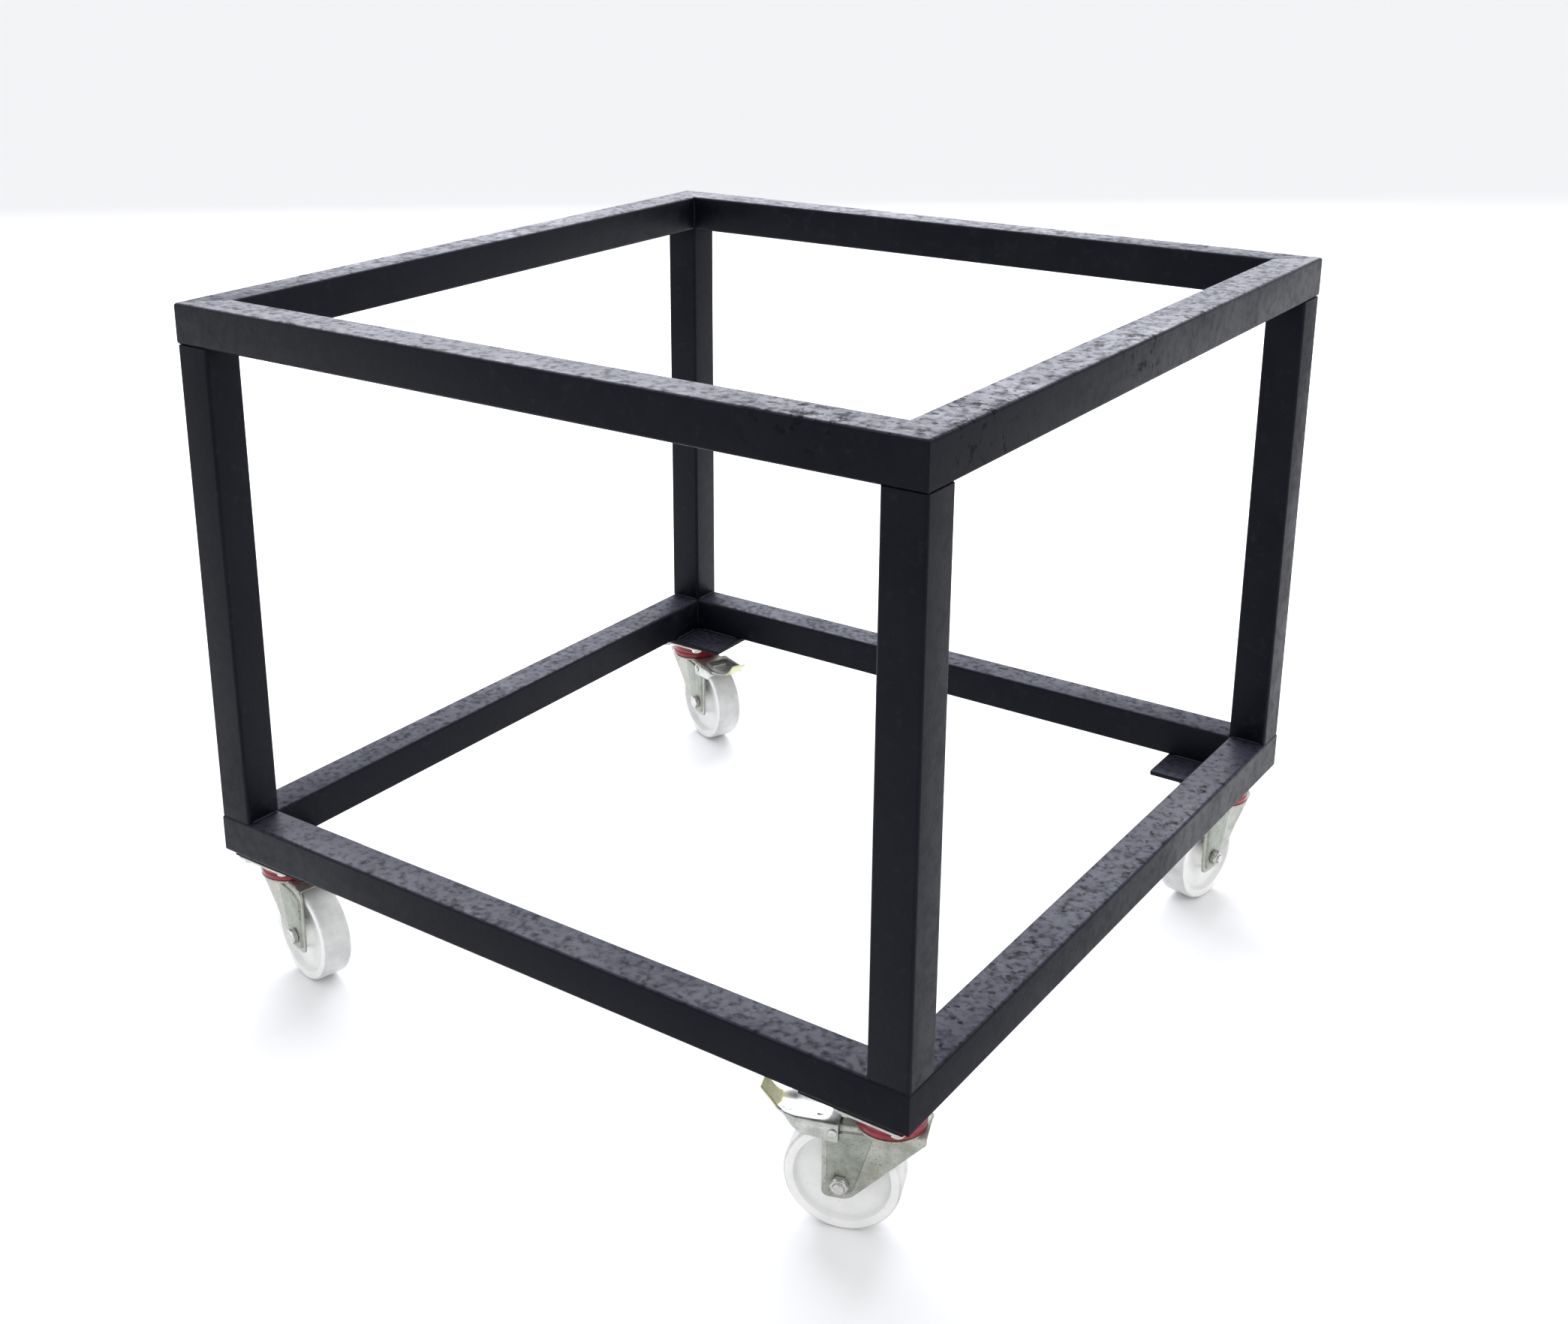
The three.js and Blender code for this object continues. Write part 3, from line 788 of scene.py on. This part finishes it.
def rib_outline(castor, inset):
    """The rib's outline, tapering from the crown to the axle, drawn in by the inset."""
    top = RIB_TOP - inset
    foot = RIB_FOOT - inset
    front = 12 * MM + inset
    rear = castor.trail + foot
    touch = tangent_angle(castor, front, top, foot)
    outline = [Vector((front, top))]
    outline += arc((castor.trail, castor.axle), foot, touch, -90, 10)
    outline += arc((rear - RIB_CORNER, castor.axle - foot + RIB_CORNER), RIB_CORNER, -90, 0, 6)
    outline += [Vector((rear, 118 * MM - inset)), Vector((castor.trail - inset, top - 2 * MM))]
    return outline


def rib(castor, side):
    """The pressed rib on a leg's outside, with drafted sides."""
    base = rib_outline(castor, 0.0)
    face = rib_outline(castor, RIB_DRAFT)
    inner = LEG_INSIDE + LEG_THICK - MERGE
    outer = LEG_INSIDE + LEG_THICK + RIB_THICK
    count = len(base)
    vertices = [(p.x, side * inner, p.y) for p in base] + [(p.x, side * outer, p.y) for p in face]
    faces = [tuple(range(count)), tuple(range(2 * count - 1, count - 1, -1))]
    faces += [(k, k + count, (k + 1) % count + count, (k + 1) % count) for k in range(count)]
    return outward(new_object("rib", vertices, faces))


def rod(radius, x, z, segments=40):
    """A plain pin along Y, used to cut holes."""
    outline = [(x + radius * math.cos(a), z + radius * math.sin(a))
               for a in (2 * math.pi * k / segments for k in range(segments))]
    return prism("rod", outline, -CUT_HALF, CUT_HALF, upright)


def make_fork(castor):
    """A fork pressed from one sheet: a bent channel cut to the leg's outline, a round crown and ribs."""
    outer = LEG_INSIDE + LEG_THICK
    bottom, ceiling = 20 * MM, CROWN_TOP - CROWN_THICK
    channel_points = [
        (-outer, bottom), (-outer, CROWN_TOP), (outer, CROWN_TOP), (outer, bottom),
        (LEG_INSIDE, bottom), (LEG_INSIDE, ceiling), (-LEG_INSIDE, ceiling), (-LEG_INSIDE, bottom),
    ]
    radii = [r * MM for r in (0, 5.5, 5.5, 0, 0, 3, 3, 0)]
    channel = rounded(channel_points, radii, 8)
    fork = prism("fork", channel, -60 * MM, 120 * MM, endways)
    cutter = prism("cutter", leg_outline(castor), -CUT_HALF, CUT_HALF, upright)
    boolean(fork, cutter, "INTERSECT")
    crown = turned("crown", rounded(
        [(0, ceiling), (CROWN_RADIUS, ceiling), (CROWN_RADIUS, CROWN_TOP), (0, CROWN_TOP)],
        [0, 1.2 * MM, 1.2 * MM, 0], 4), 96)
    boolean(fork, crown, "UNION")
    for side in (-1, 1):
        boolean(fork, rib(castor, side), "UNION")
    boolean(fork, rod(AXLE_HOLE, castor.trail, castor.axle), "DIFFERENCE")
    if castor.brake:
        boolean(fork, rod(HINGE_HOLE, *castor.hinge), "DIFFERENCE")
    outward(fork)
    round_edges(fork, 0.55 * MM, 2, 38)
    rib_start = outer + 0.3 * MM
    for polygon in fork.data.polygons:
        on_rib = abs(polygon.center.y) > rib_start and polygon.center.z < RIB_TOP - 0.5 * MM
        polygon.material_index = 1 if on_rib else 0
    fork.data.transform(castor.turned)
    dress(soften(fork, 38), f"{castor.name}_fork_steel", (FORK_ZINC, RIB_ZINC), castor.swivel_body,
          [f"{castor.name}_fork"])


def make_seal(castor):
    """The moulded dust seal: a lip on the crown, a groove and a rolled top."""
    inside = 31.9 * MM
    points = [
        (inside, 131.3 * MM), (37 * MM, 131.3 * MM), (37 * MM, 136.6 * MM), (35.4 * MM, 138.2 * MM),
        (36.2 * MM, 141.5 * MM), (34.8 * MM, 149 * MM), (inside, 149 * MM),
    ]
    radii = [r * MM for r in (0.3, 1.2, 1.0, 0.9, 1.5, 0.9, 0.3)]
    seal = turned("seal", rounded(points, radii, 5), 128)
    seal.data.transform(castor.turned)
    dress(soften(seal, 40), f"{castor.name}_seal_ring", SEAL, castor.swivel_body,
          [f"{castor.name}_dust_seal"])


def make_castor_plate(castor):
    """The mounting plate, with rounded corners and the pressed ball race hanging from it."""
    node = f"{castor.name}_castor_plate"
    low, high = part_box(node)
    bottom = high.z - PLATE_THICK
    outline = rectangle((high.x - low.x) / 2, (high.y - low.y) / 2, 9 * MM, 8)
    plate = prism("plate", outline, bottom, high.z, flat)
    round_edges(plate, 0.6 * MM, 2)
    race = turned("race", rounded(
        [(7 * MM, bottom + 0.4 * MM), (7 * MM, bottom - 3 * MM), (28 * MM, bottom - 3 * MM),
         (28 * MM, low.z), (31 * MM, low.z), (31 * MM, bottom + 0.4 * MM)],
        [0, 0, 2 * MM, 0.6 * MM, 0.8 * MM, 0], 5), 96)
    whole = join(node, [plate, race])
    whole.data.transform(castor.fixed)
    dress(soften(whole, 35), f"{castor.name}_plate_steel", PLATE_ZINC, "frame", [node])


def hexagon(name, across_corners, low, high):
    """A hexagonal bolt head or nut with its corners turned off at both faces."""
    points = [(across_corners * math.cos(math.pi / 3 * k), across_corners * math.sin(math.pi / 3 * k))
              for k in range(6)]
    body = prism(name, points, low, high, flat)
    face, rim, chamfer = across_corners * 0.88, across_corners * 1.02, 0.9 * MM
    cone = turned("cone", [
        (0, low), (face, low), (rim, low + chamfer), (rim, high - chamfer), (face, high), (0, high),
    ], 60)
    boolean(body, cone, "INTERSECT")
    return outward(body)


def thread(radius, low, high):
    """A screw's threaded end, as close rings with a chamfered tip."""
    pitch = 1.5 * MM
    outline = [(0, low), (radius, low)]
    z = low
    while z + pitch < high - 0.8 * MM:
        outline += [(radius, z + 0.25 * pitch), (radius - 0.6 * MM, z + 0.6 * pitch), (radius, z + pitch)]
        z += pitch
    outline += [(radius, high - 0.8 * MM), (radius - 0.9 * MM, high), (0, high)]
    return turned("thread", outline, 48)


def make_axle(castor):
    """The axle bolt with its head, shank and threaded end, and the lock nut."""
    leg_face = LEG_INSIDE + LEG_THICK + RIB_THICK
    face = leg_face + 0.3 * MM
    washer_rim = AXLE_HEAD * 0.92
    head = hexagon("head", AXLE_HEAD, face + 1.2 * MM, face + 6 * MM)
    washer = turned("washer", rounded(
        [(0, face), (washer_rim, face), (washer_rim, face + 1.3 * MM), (0, face + 1.3 * MM)],
        [0, 0.4 * MM, 0.4 * MM, 0], 3), 60)
    shank = turned("shank", [(0, -leg_face - 2 * MM), (SHANK, -leg_face - 2 * MM),
                             (SHANK, leg_face + 1 * MM), (0, leg_face + 1 * MM)], 48)
    tip = thread(SHANK, leg_face, face + 11 * MM)
    for piece in (head, washer):
        piece.data.transform(Matrix.Rotation(math.pi, 4, "X"))
    bolt = join("bolt", [head, washer, shank, tip])
    spot = castor.turned @ Matrix.Translation((castor.trail, 0, castor.axle))
    spot = spot @ Matrix.Rotation(-math.pi / 2, 4, "X")
    bolt.data.transform(spot)
    dress(soften(bolt, 35), f"{castor.name}_axle_screw", STEEL, castor.swivel_body,
          [f"{castor.name}_axle_bolt"])

    top = face + 6.2 * MM
    nut = hexagon("nut", AXLE_HEAD, face, top)
    collar = turned("collar", rounded(
        [(6.2 * MM, top - 0.5 * MM), (8.6 * MM, top - 0.5 * MM), (8.2 * MM, top + 1.8 * MM),
         (6.2 * MM, top + 1.8 * MM)], [0, 0, 0.9 * MM, 0.3 * MM], 4), 60)
    whole = join("nut", [nut, collar])
    whole.data.transform(spot)
    dress(soften(whole, 35), f"{castor.name}_lock_nut", STEEL, castor.swivel_body,
          [f"{castor.name}_axle_nut"])


def make_plate_bolts(castor):
    """Four hexagon screws with washers, driven up through the castor plate into the corner plate."""
    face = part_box(f"{castor.name}_castor_plate")[1].z - PLATE_THICK
    pieces = []
    for x in (-BOLT_X, BOLT_X):
        for y in (-BOLT_Y, BOLT_Y):
            head = hexagon("head", 7.5 * MM, face - 7.1 * MM, face - 1.7 * MM)
            head.data.transform(Matrix.Rotation(random.random(), 4, "Z"))
            washer = turned("washer", rounded(
                [(0, face - 1.8 * MM), (8.4 * MM, face - 1.8 * MM), (8.4 * MM, face), (0, face)],
                [0, 0.4 * MM, 0.4 * MM, 0], 3), 48)
            for piece in (head, washer):
                piece.data.transform(Matrix.Translation((x, y, 0)))
                pieces.append(piece)
    bolts = join("bolts", pieces)
    bolts.data.transform(castor.fixed)
    dress(soften(bolts, 35), f"{castor.name}_plate_bolts", STEEL, "frame")


# ---------------------------------------------------------------- brake pedals
PEDAL_HALF = 30.1 * MM
PEDAL_TOP = 133.5 * MM
PEDAL_THICK = 2.5 * MM
PEDAL_BEND = 4 * MM
PEDAL_REACH = 64 * MM  # from the hinge to where the toe begins
TOE_LENGTH = 16 * MM
TOE_HALF = 12.5 * MM
TOE_RISE = 19 * MM
CHEEK = 18.5 * MM
DISH = 4.2 * MM
SHOE = ((8 * MM, 124.8 * MM), (20 * MM, 124.8 * MM), (20 * MM, 132 * MM), (8 * MM, 132 * MM))
SHOE_HALF = 12 * MM


def smooth(t):
    """A smooth step from 0 to 1."""
    t = min(1.0, max(0.0, t))
    return t * t * (3 - 2 * t)


def pedal_section(castor, x):
    """The sheet's half width, cheek depth, height and dishing at a distance along the castor."""
    hinge = castor.hinge[0]
    tip = hinge + PEDAL_REACH
    narrowing = smooth((x - (tip - 24 * MM)) / (30 * MM))
    half = PEDAL_HALF + (TOE_HALF - PEDAL_HALF) * narrowing
    depth = CHEEK - 3 * MM * smooth((x - hinge) / (25 * MM))
    depth += (1.2 * MM - depth) * smooth((x - (tip - 34 * MM)) / (24 * MM))
    rise_start = tip - 3 * MM
    rise = TOE_RISE * max(0.0, (x - rise_start) / (tip + TOE_LENGTH - rise_start)) ** 1.35
    dish = DISH * smooth((x - hinge - 4 * MM) / (16 * MM)) * (1 - smooth((x - tip + 14 * MM) / (16 * MM)))
    return half, depth, PEDAL_TOP - PEDAL_THICK / 2 + rise, dish


def make_pedal(castor):
    """The pedal: one pressed sheet with side cheeks, a dished tread and a toe that turns up."""
    hinge_x, hinge_z = castor.hinge
    start, end = hinge_x - 5.5 * MM, hinge_x + PEDAL_REACH + TOE_LENGTH
    rows, columns = 64, 32
    vertices = []
    for i in range(rows + 1):
        x = start + (end - start) * i / rows
        half, depth, height, dish = pedal_section(castor, x)
        half -= PEDAL_THICK / 2
        radius = min(PEDAL_BEND, depth * 0.9)
        flat_half = half - radius
        drop = max(depth - radius, 0.0)
        quarter = radius * math.pi / 2
        total = 2 * (flat_half + quarter + drop)
        for j in range(columns + 1):
            s = total * j / columns - total / 2
            side = math.copysign(1, s)
            reach = abs(s)
            if reach <= flat_half:
                y, z = reach, -dish * smooth(1.35 * (1 - reach / flat_half))
            elif reach <= flat_half + quarter:
                a = (reach - flat_half) / radius
                y, z = flat_half + radius * math.sin(a), -radius * (1 - math.cos(a))
            else:
                y, z = half, -radius - (reach - flat_half - quarter)
            vertices.append((x, side * y, height + z))
    faces = []
    for i in range(rows):
        for j in range(columns):
            a = i * (columns + 1) + j
            faces.append((a, a + 1, a + columns + 2, a + columns + 1))
    pedal = new_object("pedal", vertices, faces)
    sheet = pedal.modifiers.new("sheet", "SOLIDIFY")
    sheet.thickness = PEDAL_THICK
    sheet.offset = 0.0
    sheet.use_even_offset = True
    apply_modifiers(pedal)
    outward(pedal)
    boolean(pedal, rod(HINGE_HOLE, hinge_x, hinge_z), "DIFFERENCE")
    shoe_points = [(hinge_x + x, z) for x, z in SHOE]
    shoe_outline = rounded(shoe_points, [1.5 * MM, 1.5 * MM, 0, 0], 4)
    shoe = prism("shoe", shoe_outline, -SHOE_HALF, SHOE_HALF, upright)
    boolean(pedal, shoe, "UNION")
    outward(pedal)
    round_edges(pedal, 0.5 * MM, 2, 45)
    pedal.data.transform(castor.turned)
    toe = castor.turned @ Vector((hinge_x + 76 * MM, 0, PEDAL_TOP + 12 * MM))
    dress(soften(pedal, 45), f"{castor.name}_pedal_steel", pedal_zinc(toe, 40 * MM),
          f"{castor.name}_brake", [f"{castor.name}_brake_pedal"])
    for side, letter in ((-1, "a"), (1, "b")):
        rivet = turned("rivet", rounded(
            [(0, 20.6 * MM), (3 * MM, 20.6 * MM), (3 * MM, 30.3 * MM), (5 * MM, 30.3 * MM),
             (4.4 * MM, 32 * MM), (2.4 * MM, 32.6 * MM), (0, 32.6 * MM)],
            [0, 0, 0, 0.4 * MM, 1.2 * MM, 0.8 * MM, 0], 4), 40)
        rivet.data.transform(Matrix.Rotation(-side * math.pi / 2, 4, "X"))
        rivet.data.transform(castor.turned @ Matrix.Translation((hinge_x, 0, hinge_z)))
        dress(soften(rivet, 35), f"{castor.name}_rivet_{letter}", STEEL,
              castor.swivel_body, [f"{castor.name}_brake_rivet_{letter}"])


for castor_name in CASTOR_NAMES:
    castor = Castor(castor_name)
    make_wheel(castor)
    make_fork(castor)
    make_seal(castor)
    make_castor_plate(castor)
    make_axle(castor)
    make_plate_bolts(castor)
    if castor.brake:
        make_pedal(castor)
    for node in ("king_pin", "ball_ring", "axle_bush"):
        steel = frame["nodes"][f"{castor.name}_{node}"]
        steel.data.materials.clear()
        steel.data.materials.append(STEEL)
